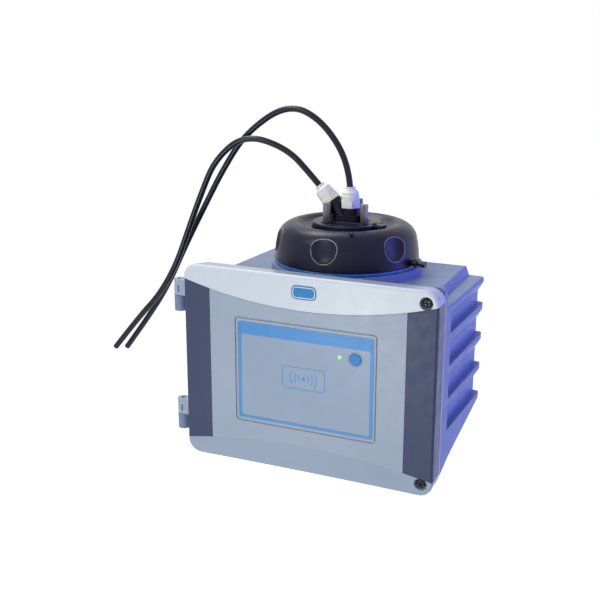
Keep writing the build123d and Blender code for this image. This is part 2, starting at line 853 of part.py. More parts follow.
with BuildPart() as antenna_board:
    with BuildSketch(facing(board_front_y + board_thick)):
        with Locations(antenna_mid):
            RectangleRounded(antenna_width, antenna_height, 3)
        with Locations(*antenna_holes):
            Circle(1.6, mode=Mode.SUBTRACT)
    extrude(amount=board_thick)
write(antenna_board, "antenna_board")

with BuildPart() as antenna_coil:
    for n in range(4):
        with BuildSketch(facing(board_front_y + board_thick + 0.4)):
            with Locations((-6, panel_mid_z)):
                RectangleRounded(62 - 6 * n, 44 - 6 * n, 4)
                RectangleRounded(59 - 6 * n, 41 - 6 * n, 3, mode=Mode.SUBTRACT)
        extrude(amount=0.4)
write(antenna_coil, "antenna_coil")

with BuildPart() as antenna_screws:
    with BuildSketch(facing(board_front_y + board_thick)):
        with Locations(*antenna_holes):
            Circle(2.8)
    extrude(amount=-2)
    with BuildSketch(facing(board_front_y + board_thick)):
        with Locations(*antenna_holes):
            Circle(1.6)
    extrude(amount=board_thick)
write(antenna_screws, "antenna_screws")

# Captive door screws with a cross recess
screw_head_dome = 1.8
cross_long = 5.4
cross_wide = 1.2
cross_depth = 1.8
for (x, z), name in zip(door_screw_places, ("upper_door_screw", "lower_door_screw")):
    with BuildPart() as door_screw:
        with BuildSketch(facing(front_y + screw_well_depth)):
            with Locations((x, z)):
                Circle(screw_head_radius)
        extrude(amount=screw_head_height)
        fillet(door_screw.faces().sort_by(Axis.Y)[0].edges(), screw_head_dome)
        with BuildSketch(facing(front_y + screw_well_depth)):
            with Locations((x, z)):
                Circle(screw_shank_radius)
        extrude(amount=-(housing_front_y + screw_reach - front_y - screw_well_depth))
        with BuildSketch(facing(front_y + screw_well_depth - screw_head_height)):
            with Locations((x, z)):
                Rectangle(cross_long, cross_wide)
                Rectangle(cross_wide, cross_long)
        extrude(amount=-cross_depth, mode=Mode.SUBTRACT)
    write(door_screw, name)

# Head body: spigot in the seat, flange under the lock ring and the hub that the ring turns on
seat_gap = 0.3
spigot_radius = seat_radius - 0.6
blue_low_z = collar_z + seat_gap
blue_high_z = blue_low_z + 3.3
blue_radius = 72.3
blue_inner = 64.0
flange_radius = 66.0
flange_high_z = blue_high_z + 3.2
hub_radius = 34.0
hub_clearance = 0.06
plate_low_z = base_z + 226.8
plate_high_z = base_z + 231.0
plate_radius = 38.0
with BuildPart() as head_body:
    with BuildSketch(head_profile):
        with BuildLine():
            Polyline(
                (0, deck_z + seat_seal_thick + seat_gap),
                (spigot_radius, deck_z + seat_seal_thick + seat_gap),
                (spigot_radius, blue_low_z),
                (blue_inner - inlay_gap, blue_low_z),
                (blue_inner - inlay_gap, blue_high_z),
                (flange_radius, blue_high_z),
                (flange_radius, flange_high_z),
                (hub_radius, flange_high_z),
                (hub_radius, plate_low_z),
                (0, plate_low_z),
                close=True,
            )
        make_face()
    revolve(axis=head_axis)
write(head_body, "head_body")

with BuildPart() as blue_ring:
    with BuildSketch(head_plane(blue_low_z)):
        Circle(blue_radius)
        Circle(blue_inner, mode=Mode.SUBTRACT)
    extrude(amount=blue_high_z - blue_low_z)
    fillet(blue_ring.edges().filter_by(GeomType.CIRCLE).group_by(SortBy.RADIUS)[-1], 0.8)
write(blue_ring, "blue_ring")

# Lock ring: the black domed cap, with six finger recesses scooped by leaning cylinders
dome_low_z = blue_high_z + 0.4
dome_wall = 4.0
dome_bore = hub_radius + hub_clearance
recess_count = 6
recess_first = 3.5  # degrees from straight ahead
recess_radius = 17.0
recess_lean = 29.0
recess_base = (91.8, base_z + 199.0)
recess_run = 12.0  # how far below its base point each scoop starts
stud_angle = 8.0
stud_z = base_z + 196.5
stud_root = 72.35  # from the head's axis
cap_seat_z = plate_low_z - 0.4
with BuildPart() as lock_ring:
    with BuildSketch(head_profile):
        with BuildLine():
            Line((dome_bore, cap_seat_z - 5), (dome_bore, cap_seat_z))
            Line((dome_bore, cap_seat_z), (plate_radius + 0.6, cap_seat_z))
            Line((plate_radius + 0.6, cap_seat_z), (plate_radius + 0.6, base_z + 227.7))
            Line((plate_radius + 0.6, base_z + 227.7), (51.0, base_z + 229.6))
            Spline(
                (51.0, base_z + 229.6),
                (58.5, base_z + 227.6),
                (65.0, base_z + 222.5),
                (69.3, base_z + 213.0),
                (71.6, base_z + 202.0),
                (72.2, dome_low_z),
            )
            Line((72.2, dome_low_z), (72.2 - dome_wall, dome_low_z))
            Line((72.2 - dome_wall, dome_low_z), (67.4, base_z + 202.0))
            Line((67.4, base_z + 202.0), (55.0, cap_seat_z - 5))
            Line((55.0, cap_seat_z - 5), (dome_bore, cap_seat_z - 5))
        make_face()
    revolve(axis=head_axis)
    for n in range(recess_count):
        turn = radians(recess_first + 360 / recess_count * n)
        out = Vector(sin(turn), -cos(turn), 0)
        start = Vector(0, head_y, 0) + out * (recess_base[0] + recess_run * sin(radians(recess_lean)))
        start += Vector(0, 0, recess_base[1] - recess_run * cos(radians(recess_lean)))
        lean = out * -sin(radians(recess_lean)) + Vector(0, 0, cos(radians(recess_lean)))
        with BuildSketch(Plane(origin=start, z_dir=lean)):
            Circle(recess_radius)
        extrude(amount=5 * recess_run, mode=Mode.SUBTRACT)
write(lock_ring, "lock_ring")

# Short stud on the lock ring's right side
stud_out = Vector(cos(radians(stud_angle)), -sin(radians(stud_angle)), 0)
with BuildPart() as ring_stud:
    seat = Plane(origin=Vector(0, head_y, stud_z) + stud_out * stud_root, z_dir=stud_out)
    for start, length, radius in ((0, 4, 2.8), (4, 2.4, 4.4), (6.4, 4.6, 2.2), (11, 4, 3.2)):
        with BuildSketch(seat.offset(start)):
            Circle(radius)
        extrude(amount=length)
write(ring_stud, "ring_stud")

# Centre plate with its pointer tab
screw_angles = {"front": -135.0, "right": -20.0, "rear": 80.0}
screw_circle = 22.0
thumb_radius = 4.0
thumb_height = 18.0
thumb_shank = 2.2
with BuildPart() as centre_plate:
    with BuildSketch(head_plane(plate_low_z)):
        Circle(plate_radius)
        for angle in screw_angles.values():
            with PolarLocations(screw_circle, 1, start_angle=angle):
                Circle(thumb_shank + 0.1, mode=Mode.SUBTRACT)
    extrude(amount=plate_high_z - plate_low_z)
    with BuildSketch(head_plane(plate_high_z - 1.7)):
        with Locations((plate_radius, 0)):
            Rectangle(16, 9)
    extrude(amount=1.7)
write(centre_plate, "centre_plate")

# Flow block on the plate: an upright outlet boss and a leaning inlet boss, joined by a saddle
boss_base_radius = 10.2
upright_x = 3.0
upright_height = 13.0
lean_angle = 43.0
lean_reach = 23.7
saddle_height = 6.0
lean_dir = Vector(-sin(radians(lean_angle)), 0, cos(radians(lean_angle)))
upright_seat = Plane(origin=(upright_x, head_y, plate_high_z + upright_height), z_dir=(0, 0, 1))
lean_root = Vector(0, head_y, plate_high_z)
lean_seat = Plane(
    origin=lean_root + lean_dir * lean_reach,
    x_dir=(cos(radians(lean_angle)), 0, sin(radians(lean_angle))),
    z_dir=lean_dir,
)
tube_radius = 3.175
passage_radius = 2.2
with BuildPart() as flow_block:
    with BuildSketch(head_plane(plate_high_z)):
        with Locations((upright_x, 0)):
            Circle(boss_base_radius)
    extrude(amount=upright_height)
    with BuildSketch(lean_seat):
        Circle(boss_base_radius - 0.8)
    extrude(amount=-lean_reach)
    with BuildSketch(head_plane(plate_high_z)):
        SlotOverall(34, 20)
    extrude(amount=saddle_height)
    with BuildSketch(head_plane(plate_high_z)):
        Circle(60)
    extrude(amount=-40, mode=Mode.SUBTRACT)
    # room for the upright fitting beside the leaning boss
    with BuildSketch(upright_seat):
        Circle(boss_base_radius + 0.8)
    extrude(amount=20, mode=Mode.SUBTRACT)
    for seat in (upright_seat, lean_seat):
        with BuildSketch(seat):
            Circle(passage_radius)
        extrude(amount=-9, mode=Mode.SUBTRACT)
write(flow_block, "flow_block")

# Push-in fittings: a hexagon, a ringed body and a release collet that slides in by a millimetre
hex_height = 6.5
fitting_top = 17.6
collet_bore_depth = 8.0
collet_radius = 4.6
collet_flange = 5.3
collet_travel = 1.0
collet_clearance = 0.12
tube_socket_depth = 9.0
for seat, name in ((upright_seat, "outlet"), (lean_seat, "inlet")):
    axis = Axis(seat.origin, seat.z_dir)
    with BuildPart() as fitting:
        with BuildSketch(seat):
            RegularPolygon(8.9, 6, major_radius=False)
        extrude(amount=hex_height)
        with BuildSketch(profile_plane(seat)):
            with BuildLine():
                Polyline(
                    (0, hex_height),
                    (8.2, hex_height),
                    (8.9, hex_height + 1.2),
                    (8.9, hex_height + 5.6),
                    (8.2, hex_height + 6.2),
                    (8.2, hex_height + 7.2),
                    (8.6, hex_height + 7.8),
                    (7.4, fitting_top - 1.2),
                    (6.2, fitting_top),
                    (0, fitting_top),
                    close=True,
                )
            make_face()
        revolve(axis=axis)
        with BuildSketch(seat.offset(fitting_top)):
            Circle(collet_radius + collet_clearance)
        extrude(amount=-collet_bore_depth, mode=Mode.SUBTRACT)
        with BuildSketch(seat.offset(fitting_top)):
            Circle(tube_radius)
        extrude(amount=-(tube_socket_depth + 1), mode=Mode.SUBTRACT)
    write(fitting, name + "_fitting")
    with BuildPart() as collet:
        with BuildSketch(seat.offset(fitting_top - collet_bore_depth + collet_travel + 0.3)):
            Circle(collet_radius)
        extrude(amount=collet_bore_depth)
        with BuildSketch(seat.offset(fitting_top + collet_travel + 0.3)):
            Circle(collet_flange)
        extrude(amount=1.6)
        with BuildSketch(seat.offset(fitting_top + 10)):
            Circle(tube_radius + collet_clearance)
        extrude(amount=-30, mode=Mode.SUBTRACT)
    write(collet, name + "_collet")

# Fluted thumb screws
for place, angle in screw_angles.items():
    centre = Vector(screw_circle * cos(radians(angle)), head_y + screw_circle * sin(radians(angle)), 0)
    with BuildPart() as thumb_screw:
        with BuildSketch(Plane(origin=centre + Vector(0, 0, plate_high_z + 0.3))):
            Circle(thumb_radius)
            with PolarLocations(thumb_radius + 0.25, 9):
                Circle(0.8, mode=Mode.SUBTRACT)
        extrude(amount=thumb_height)
        chamfer(thumb_screw.faces().sort_by(Axis.Z)[-1].edges(), 0.3)
        with BuildSketch(Plane(origin=centre + Vector(0, 0, plate_high_z + 0.3))):
            Circle(thumb_shank)
        extrude(amount=-(plate_high_z - plate_low_z))
    write(thumb_screw, "thumb_screw_" + place)

# Glass vial in the well, its nut under the head, and the dip tube inside
nut_height = 9.0
with BuildPart() as vial_nut:
    with BuildSketch(head_plane(deck_z + seat_seal_thick + seat_gap)):
        Circle(vial_nut_radius)
        Circle(vial_radius, mode=Mode.SUBTRACT)
    extrude(amount=-nut_height)
write(vial_nut, "vial_nut")

vial_top_z = deck_z + seat_seal_thick + seat_gap
with BuildPart() as vial:
    with BuildSketch(head_profile):
        with BuildLine():
            Polyline(
                (0, vial_low_z),
                (vial_radius, vial_low_z),
                (vial_radius, vial_top_z),
                (vial_radius - vial_wall, vial_top_z),
                (vial_radius - vial_wall, vial_low_z + vial_wall),
                (0, vial_low_z + vial_wall),
                close=True,
            )
        make_face()
    revolve(axis=head_axis)
    fillet(vial.edges().group_by(Axis.Z)[0], 2)
write(vial, "vial")

with BuildPart() as dip_tube:
    with BuildSketch(head_plane(vial_top_z)):
        with Locations((-5, 0)):
            Circle(2.2)
            Circle(1.4, mode=Mode.SUBTRACT)
    extrude(amount=-(vial_top_z - vial_low_z - 12))
write(dip_tube, "dip_tube")

# Sample tubes: each route is a list of places chosen by hand, from the seat in the fitting
outlet_route = [
    (upright_x, head_y, plate_high_z + upright_height + fitting_top - tube_socket_depth),
    (upright_x, head_y, 176.0),
    (-9.0, -86.5, 212.0),
    (-43.0, -85.5, 233.0),
    (-85.0, -84.5, 229.0),
    (-121.0, -84.0, 196.0),
    (-148.0, -83.5, 150.0),
    (-174.0, -83.5, 96.0),
    (-205.0, -84.0, 40.0),
    (-238.0, -84.5, -9.0),
    (-271.0, -85.5, -52.0),
]
inlet_start = lean_seat.origin + lean_dir * (fitting_top - tube_socket_depth)
inlet_bend = lean_root + lean_dir * 57.0
inlet_route = [
    tuple(inlet_start),
    tuple(inlet_bend),
    (-63.5, -89.5, 182.0),
    (-95.0, -93.0, 196.5),
    (-127.0, -95.5, 193.0),
    (-151.0, -96.5, 171.0),
    (-165.0, -97.0, 136.0),
    (-183.0, -97.0, 90.0),
    (-209.0, -97.5, 38.0),
    (-243.0, -98.0, -8.0),
    (-277.0, -99.0, -49.0),
]


def corner_radii(points):
    """The radius of each corner's arc: 0.45 of the shorter run over the tangent of half the turn."""
    radii = []
    for before, corner, after in zip(points, points[1:], points[2:]):
        run_in = Vector(*corner) - Vector(*before)
        run_out = Vector(*after) - Vector(*corner)
        turn = radians(run_in.get_angle(run_out))
        radii.append(0.45 * min(run_in.length, run_out.length) / tan(turn / 2))
    return radii


for route, name in ((outlet_route, "outlet_tube"), (inlet_route, "inlet_tube")):
    radii = corner_radii(route)
    with BuildPart() as tube:
        with BuildLine():
            path = FilletPolyline(*route, radius=radii)
        start = Vector(*route[0])
        with BuildSketch(Plane(origin=start, z_dir=Vector(*route[1]) - start)):
            Circle(tube_radius)
        sweep(path=path)
    share = tube.part.volume / (path.length * pi * tube_radius**2)
    print(name, "length", round(path.length, 1), "volume share", round(share, 4))
    print(name, "radii", [round(r) for r in radii])
    write(tube, name)
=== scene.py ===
import bpy, bmesh, math
from mathutils import Matrix, Vector


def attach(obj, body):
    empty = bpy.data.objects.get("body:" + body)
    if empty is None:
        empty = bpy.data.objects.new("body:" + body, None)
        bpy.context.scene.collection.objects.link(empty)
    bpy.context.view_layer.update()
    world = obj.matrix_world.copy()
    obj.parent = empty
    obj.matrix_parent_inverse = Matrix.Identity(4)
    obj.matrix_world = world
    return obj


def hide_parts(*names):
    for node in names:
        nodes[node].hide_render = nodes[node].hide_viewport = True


# Turbidity meter on its wall feet, seen from the front right. Metres, Z up, Y into the wall,
# origin at the centre of the four feet.

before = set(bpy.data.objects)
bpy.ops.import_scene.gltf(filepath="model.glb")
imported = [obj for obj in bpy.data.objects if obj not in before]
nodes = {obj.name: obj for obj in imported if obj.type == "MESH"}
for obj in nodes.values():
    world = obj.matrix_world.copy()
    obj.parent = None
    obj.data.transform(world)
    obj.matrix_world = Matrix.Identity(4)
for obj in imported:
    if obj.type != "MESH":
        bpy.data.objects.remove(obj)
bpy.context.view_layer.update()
print("frame loaded:", len(nodes), "nodes")

faceY = -0.190      # front of the door
doorFoot = -0.112   # lower edge of the door
headY = -0.087      # axis of the round head
tiny = 0.00001      # points this close count as one


def addObject(name, data):
    made = bpy.data.objects.new(name, data)
    bpy.context.scene.collection.objects.link(made)
    return made


def aimed(place, target):
    # at that place, looking at the target
    look = (Vector(target) - Vector(place)).to_track_quat("-Z", "Y").to_matrix().to_4x4()
    return Matrix.Translation(Vector(place)) @ look


def aboutHead(turn):
    # frame on the head's axis, turned by that many degrees
    return Matrix.Translation((0, headY, 0)) @ Matrix.Rotation(math.radians(turn), 4, "Z")


def roundOff(work, parts, kind, run, steps, material=-1):
    bmesh.ops.bevel(work, geom=parts, offset=run, offset_type="OFFSET", segments=steps,
                    profile=0.5, affect=kind, material=material)


def toScene(name, work, body, material, sharpOver=None):
    # makes a bmesh a piece of that body; sharpOver is the angle above which its edges stay sharp
    mesh = bpy.data.meshes.new(name)
    work.to_mesh(mesh)
    work.free()
    if sharpOver:
        mesh.set_sharp_from_angle(angle=math.radians(sharpOver))
    piece = addObject(name, mesh)
    mesh.materials.append(material)
    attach(piece, body)
    return piece


def smoothFaces(work):
    for face in work.faces:
        face.smooth = True


# view
view = {
    "place": (0.3686, -1.0009, 0.3122),
    "target": (-0.00422, -0.190, 0.06179),
    "lens": 60.30,
    "roll": -0.10,      # degrees
    "sensor": 36,
    "clip": (0.02, 40),
}


def setView():
    data = bpy.data.cameras.new("viewCamera")
    data.lens = view["lens"]
    data.sensor_width = view["sensor"]
    data.clip_start, data.clip_end = view["clip"]
    camera = addObject("viewCamera", data)
    roll = Matrix.Rotation(math.radians(-view["roll"]), 4, "Z")
    camera.matrix_world = aimed(view["place"], view["target"]) @ roll
    bpy.context.scene.camera = camera


setView()
print("view set")


# noise and depths that the finishes share
grain = {
    "range": (0.3, 0.7),        # the noise values that count as least and most
    "cloud": (14.0, 2.0),       # scale, detail
    "gloss": (90.0, 4.0),
    "reliefDetail": 3.0,
    "lineDetail": 4.0,
    "edgeSamples": 4,
    "plasticDepth": 0.0002,
    "metalDepth": 0.00015,
    "plasticEdge": 0.0005,
    "metalEdge": 0.0003,
    "insideScale": 0.002,
}


def colour(text, alpha=1.0):
    # "9FAEC4" as Blender's linear colour
    parts = [int(text[i:i + 2], 16) / 255 for i in (0, 2, 4)]
    return tuple(c / 12.92 if c <= 0.04045 else ((c + 0.055) / 1.055) ** 2.4 for c in parts) + (alpha,)


def newMaterial(name):
    material = bpy.data.materials.new(name)
    material.use_nodes = True
    shader = material.node_tree.nodes["Principled BSDF"]
    return material, material.node_tree, shader


def addNode(tree, kind, settings=None, sockets=None):
    node = tree.nodes.new(kind)
    for key, value in (settings or {}).items():
        setattr(node, key, value)
    for key, value in (sockets or {}).items():
        node.inputs[key].default_value = value
    return node


def noiseOn(tree, scale, detail=2.0, stretch=None):
    where = addNode(tree, "ShaderNodeTexCoord")
    noise = addNode(tree, "ShaderNodeTexNoise", None, {"Scale": scale, "Detail": detail})
    if stretch:
        mapping = addNode(tree, "ShaderNodeMapping", None, {"Scale": stretch})
        tree.links.new(where.outputs["Object"], mapping.inputs["Vector"])
        tree.links.new(mapping.outputs["Vector"], noise.inputs["Vector"])
    else:
        tree.links.new(where.outputs["Object"], noise.inputs["Vector"])
    return noise


def spread(tree, source, low, high):
    # a noise value carried to the range from low to high
    least, most = grain["range"]
    fit = addNode(tree, "ShaderNodeMapRange", None, {
        "From Min": least, "From Max": most, "To Min": low, "To Max": high,
    })
    tree.links.new(source, fit.inputs["Value"])
    return fit.outputs["Result"]


def twoTone(tree, factor, first, second):
    mix = addNode(tree, "ShaderNodeMix", {"data_type": "RGBA"})
    mix.inputs["A"].default_value = first
    mix.inputs["B"].default_value = second
    tree.links.new(factor, mix.inputs["Factor"])
    return mix.outputs["Result"]


def changeBehind(tree, tone, behind):
    # another colour from a depth behind the door's face on
    where = addNode(tree, "ShaderNodeTexCoord")
    split = addNode(tree, "ShaderNodeSeparateXYZ")
    tree.links.new(where.outputs["Object"], split.inputs["Vector"])
    start = faceY + behind["depth"]
    fit = addNode(tree, "ShaderNodeMapRange", None, {
        "From Min": start, "From Max": start + behind["blend"],
    })
    tree.links.new(split.outputs["Y"], fit.inputs["Value"])
    mix = addNode(tree, "ShaderNodeMix", {"data_type": "RGBA"})
    mix.inputs["B"].default_value = colour(behind["colour"])
    tree.links.new(tone, mix.inputs["A"])
    tree.links.new(fit.outputs["Result"], mix.inputs["Factor"])
    return mix.outputs["Result"]


def grainAndEdges(tree, shader, height, strength, depth, edge):
    bump = addNode(tree, "ShaderNodeBump", None, {"Strength": strength, "Distance": depth})
    tree.links.new(height, bump.inputs["Height"])
    if edge:
        soft = addNode(tree, "ShaderNodeBevel", {"samples": grain["edgeSamples"]}, {"Radius": edge})
        tree.links.new(soft.outputs["Normal"], bump.inputs["Normal"])
    tree.links.new(bump.outputs["Normal"], shader.inputs["Normal"])


def mouldedPlastic(name, look):
    # grained or smooth plastic: fine grain, faint cloudiness, uneven gloss
    material, tree, shader = newMaterial(name)
    relief = noiseOn(tree, look["grainScale"], grain["reliefDetail"])
    cloud = noiseOn(tree, *grain["cloud"])
    tone = twoTone(tree, spread(tree, cloud.outputs["Fac"], 0.0, 1.0), colour(look["dark"]), colour(look["light"]))
    if "behind" in look:
        tone = changeBehind(tree, tone, look["behind"])
    tree.links.new(tone, shader.inputs["Base Color"])
    gloss = noiseOn(tree, *grain["gloss"])
    tree.links.new(spread(tree, gloss.outputs["Fac"], *look["gloss"]), shader.inputs["Roughness"])
    shader.inputs["IOR"].default_value = look.get("ior", 1.5)
    shader.inputs["Subsurface Weight"].default_value = look.get("inside", 0.0)
    shader.inputs["Subsurface Scale"].default_value = grain["insideScale"]
    grainAndEdges(tree, shader, relief.outputs["Fac"], look["grain"], grain["plasticDepth"],
                  look.get("edge", grain["plasticEdge"]))
    return material


def workedMetal(name, look):
    # turned or brushed metal: scratches that run one way, uneven gloss
    material, tree, shader = newMaterial(name)
    lines = noiseOn(tree, look["lineScale"], grain["lineDetail"], look["stretch"])
    tone = twoTone(tree, spread(tree, lines.outputs["Fac"], 0.0, 1.0), colour(look["dark"]), colour(look["light"]))
    tree.links.new(tone, shader.inputs["Base Color"])
    tree.links.new(spread(tree, lines.outputs["Fac"], *look["gloss"]), shader.inputs["Roughness"])
    shader.inputs["Metallic"].default_value = 1.0
    grainAndEdges(tree, shader, lines.outputs["Fac"], look["grain"], grain["metalDepth"], grain["metalEdge"])
    return material


# finishes
plastics = {
    "housingPlastic": {"light": "8393B1", "dark": "7C8DAB", "grainScale": 1500, "grain": 0.16,
                       "gloss": (0.38, 0.48), "edge": 0.0014, "ior": 1.25},
    "doorPlastic": {"light": "A3B2C3", "dark": "9CACBE", "grainScale": 1700, "grain": 0.12,
                    "gloss": (0.34, 0.44), "edge": 0.0007},
    "bandPlastic": {"light": "D9E2E8", "dark": "D6DFE6", "grainScale": 900, "grain": 0.03, "gloss": (0.30, 0.36),
                    "behind": {"depth": 0.0013, "blend": 0.0004, "colour": "A4B1C2"}},
    "stripPlastic": {"light": "3C4767", "dark": "374261", "grainScale": 1400, "grain": 0.10,
                     "gloss": (0.34, 0.46), "ior": 1.36},
    "filmPlastic": {"light": "96AAC0", "dark": "90A4BA", "grainScale": 2600, "grain": 0.06,
                    "gloss": (0.34, 0.40), "edge": 0.0002},
    "badgePlastic": {"light": "2E8CCB", "dark": "2783C2", "grainScale": 900, "grain": 0.03,
                     "gloss": (0.30, 0.36), "ior": 1.3, "edge": 0.0004},
    "badgeRimPlastic": {"light": "E6ECF0", "dark": "DEE6EB", "grainScale": 900, "grain": 0.03,
                        "gloss": (0.2, 0.3), "edge": 0.0002},
    "printBlue": {"light": "4594D6", "dark": "3E8CCF", "grainScale": 2600, "grain": 0.05,
                  "gloss": (0.36, 0.42), "edge": 0.0},
    "buttonPlastic": {"light": "3F90D6", "dark": "3888CF", "grainScale": 1800, "grain": 0.05,
                      "gloss": (0.34, 0.42), "ior": 1.3, "edge": 0.0004},
    "domePlastic": {"light": "1A1630", "dark": "141029", "grainScale": 1300, "grain": 0.18,
                    "gloss": (0.30, 0.38), "edge": 0.0010, "ior": 1.30},
    # pale grey on the scoops' rims: a painted highlight, for the light their narrow rounding catches
    "rimPaintedHighlight": {"light": "84848E", "dark": "73737E", "grainScale": 1300, "grain": 0.05,
                   "gloss": (0.24, 0.34), "edge": 0.0},
    "headPlastic": {"light": "141127", "dark": "0F0C20", "grainScale": 1500, "grain": 0.14,
                    "gloss": (0.30, 0.40), "edge": 0.0006, "ior": 1.28},
    "platePlastic": {"light": "1D1A33", "dark": "17142B", "grainScale": 1500, "grain": 0.10,
                     "gloss": (0.30, 0.38), "edge": 0.0005, "ior": 1.30},
    "ringPlastic": {"light": "2E6FB4", "dark": "2968AB", "grainScale": 1200, "grain": 0.04,
                    "gloss": (0.24, 0.32), "edge": 0.0004},
    "fittingPlastic": {"light": "F3F3F1", "dark": "EBECEA", "grainScale": 900, "grain": 0.05,
                       "gloss": (0.26, 0.36), "inside": 0.15, "edge": 0.0003},
    "screwPlastic": {"light": "141420", "dark": "0E0E18", "grainScale": 900, "grain": 0.04,
                     "gloss": (0.26, 0.34), "ior": 1.4, "edge": 0.0003},
    "tubePlastic": {"light": "17142A", "dark": "120F23", "grainScale": 700, "grain": 0.06,
                    "gloss": (0.16, 0.24), "ior": 1.34, "edge": 0.0},
    "sealRubber": {"light": "1A1A1C", "dark": "141416", "grainScale": 1100, "grain": 0.22,
                   "gloss": (0.62, 0.75), "edge": 0.0003},
    "panelPlastic": {"light": "6E747D", "dark": "676D76", "grainScale": 1500, "grain": 0.14,
                     "gloss": (0.42, 0.52), "edge": 0.0005},
    "cartridgePlastic": {"light": "C9CDD2", "dark": "C0C5CB", "grainScale": 1500, "grain": 0.12,
                         "gloss": (0.40, 0.50), "edge": 0.0005},
    "socketPlastic": {"light": "232327", "dark": "1B1B1F", "grainScale": 1300, "grain": 0.12,
                      "gloss": (0.36, 0.46), "edge": 0.0004},
}
metals = {
    "turnedSteel": {"light": "D6D6D8", "dark": "B9B9BD", "lineScale": 60, "stretch": (1, 1, 40),
                    "grain": 0.06, "gloss": (0.16, 0.30)},
    # thumb screw steel: painted reflection; the darkened base and the upright light and dark streaks stand in for
    # the dark surroundings and the bright upright streak a chrome screw reflects
    "thumbSteelPaintedReflection": {"light": "8A8A8E", "dark": "55555A", "lineScale": 16, "stretch": (40, 40, 1),
                   "grain": 0.04, "gloss": (0.18, 0.30)},
    "groundPin": {"light": "C2C2C6", "dark": "A8A8AC", "lineScale": 80, "stretch": (1, 1, 30),
                  "grain": 0.05, "gloss": (0.22, 0.34)},
    "turnedBrass": {"light": "CDA85A", "dark": "B8934A", "lineScale": 80, "stretch": (1, 30, 1),
                    "grain": 0.06, "gloss": (0.22, 0.36)},
    "blackAnodised": {"light": "2A2A2E", "dark": "1F1F22", "lineScale": 300, "stretch": (1, 1, 1),
                      "grain": 0.05, "gloss": (0.38, 0.5)},
    "turnedAluminium": {"light": "C6C8CA", "dark": "B2B4B7", "lineScale": 70, "stretch": (30, 1, 1),
                        "grain": 0.05, "gloss": (0.24, 0.36)},
    "coilCopper": {"light": "D08A5A", "dark": "BD774A", "lineScale": 200, "stretch": (1, 1, 1),
                   "grain": 0.04, "gloss": (0.26, 0.4)},
}
finishes = {name: mouldedPlastic(name, look) for name, look in plastics.items()}
finishes.update({name: workedMetal(name, look) for name, look in metals.items()})


board = {
    "mask": ("1D5A36", "1A5231"),
    "trace": "2F7A4B",
    "bricks": {"Scale": 60.0, "Mortar Size": 0.035, "Brick Width": 0.9, "Row Height": 0.22},
    "offset": 0.35,
    "bump": {"Strength": 0.2, "Distance": 0.0001},
    "roughness": 0.32,
}


def boardLaminate():
    # green solder mask with traces that show as faint raised lines
    material, tree, shader = newMaterial("boardLaminate")
    where = addNode(tree, "ShaderNodeTexCoord")
    traces = addNode(tree, "ShaderNodeTexBrick", {"offset": board["offset"]}, board["bricks"])
    traces.inputs["Color1"].default_value = colour(board["mask"][0])
    traces.inputs["Color2"].default_value = colour(board["mask"][1])
    traces.inputs["Mortar"].default_value = colour(board["trace"])
    turned = addNode(tree, "ShaderNodeMapping", None, {"Rotation": (math.radians(90), 0, 0)})
    tree.links.new(where.outputs["Object"], turned.inputs["Vector"])
    tree.links.new(turned.outputs["Vector"], traces.inputs["Vector"])
    tree.links.new(traces.outputs["Color"], shader.inputs["Base Color"])
    shader.inputs["Roughness"].default_value = board["roughness"]
    bump = addNode(tree, "ShaderNodeBump", None, board["bump"])
    tree.links.new(traces.outputs["Fac"], bump.inputs["Height"])
    tree.links.new(bump.outputs["Normal"], shader.inputs["Normal"])
    return material


glass = {"tint": "EEF4F5", "clear": 0.95, "ior": 1.47, "waves": (40.0, 1.0), "gloss": (0.01, 0.05)}


def clearGlass():
    # clear glass with a faint waviness
    material, tree, shader = newMaterial("clearGlass")
    waves = noiseOn(tree, *glass["waves"])
    shader.inputs["Base Color"].default_value = colour(glass["tint"])
    shader.inputs["Transmission Weight"].default_value = glass["clear"]
    shader.inputs["IOR"].default_value = glass["ior"]
    tree.links.new(spread(tree, waves.outputs["Fac"], *glass["gloss"]), shader.inputs["Roughness"])
    return material


lens = {"dark": "5FD452", "light": "7BE36C", "spots": (900.0, 1.0), "glow": 0.35, "roughness": 0.2}


def statusGreen():
    # lit green lens with faint spots
    material, tree, shader = newMaterial("statusGreen")
    spots = noiseOn(tree, *lens["spots"])
    tone = twoTone(tree, spread(tree, spots.outputs["Fac"], 0.0, 1.0), colour(lens["dark"]), colour(lens["light"]))
    tree.links.new(tone, shader.inputs["Base Color"])
    tree.links.new(tone, shader.inputs["Emission Color"])
    shader.inputs["Emission Strength"].default_value = lens["glow"]
    shader.inputs["Roughness"].default_value = lens["roughness"]
    return material


finishes["boardLaminate"] = boardLaminate()
finishes["clearGlass"] = clearGlass()
finishes["statusGreen"] = statusGreen()

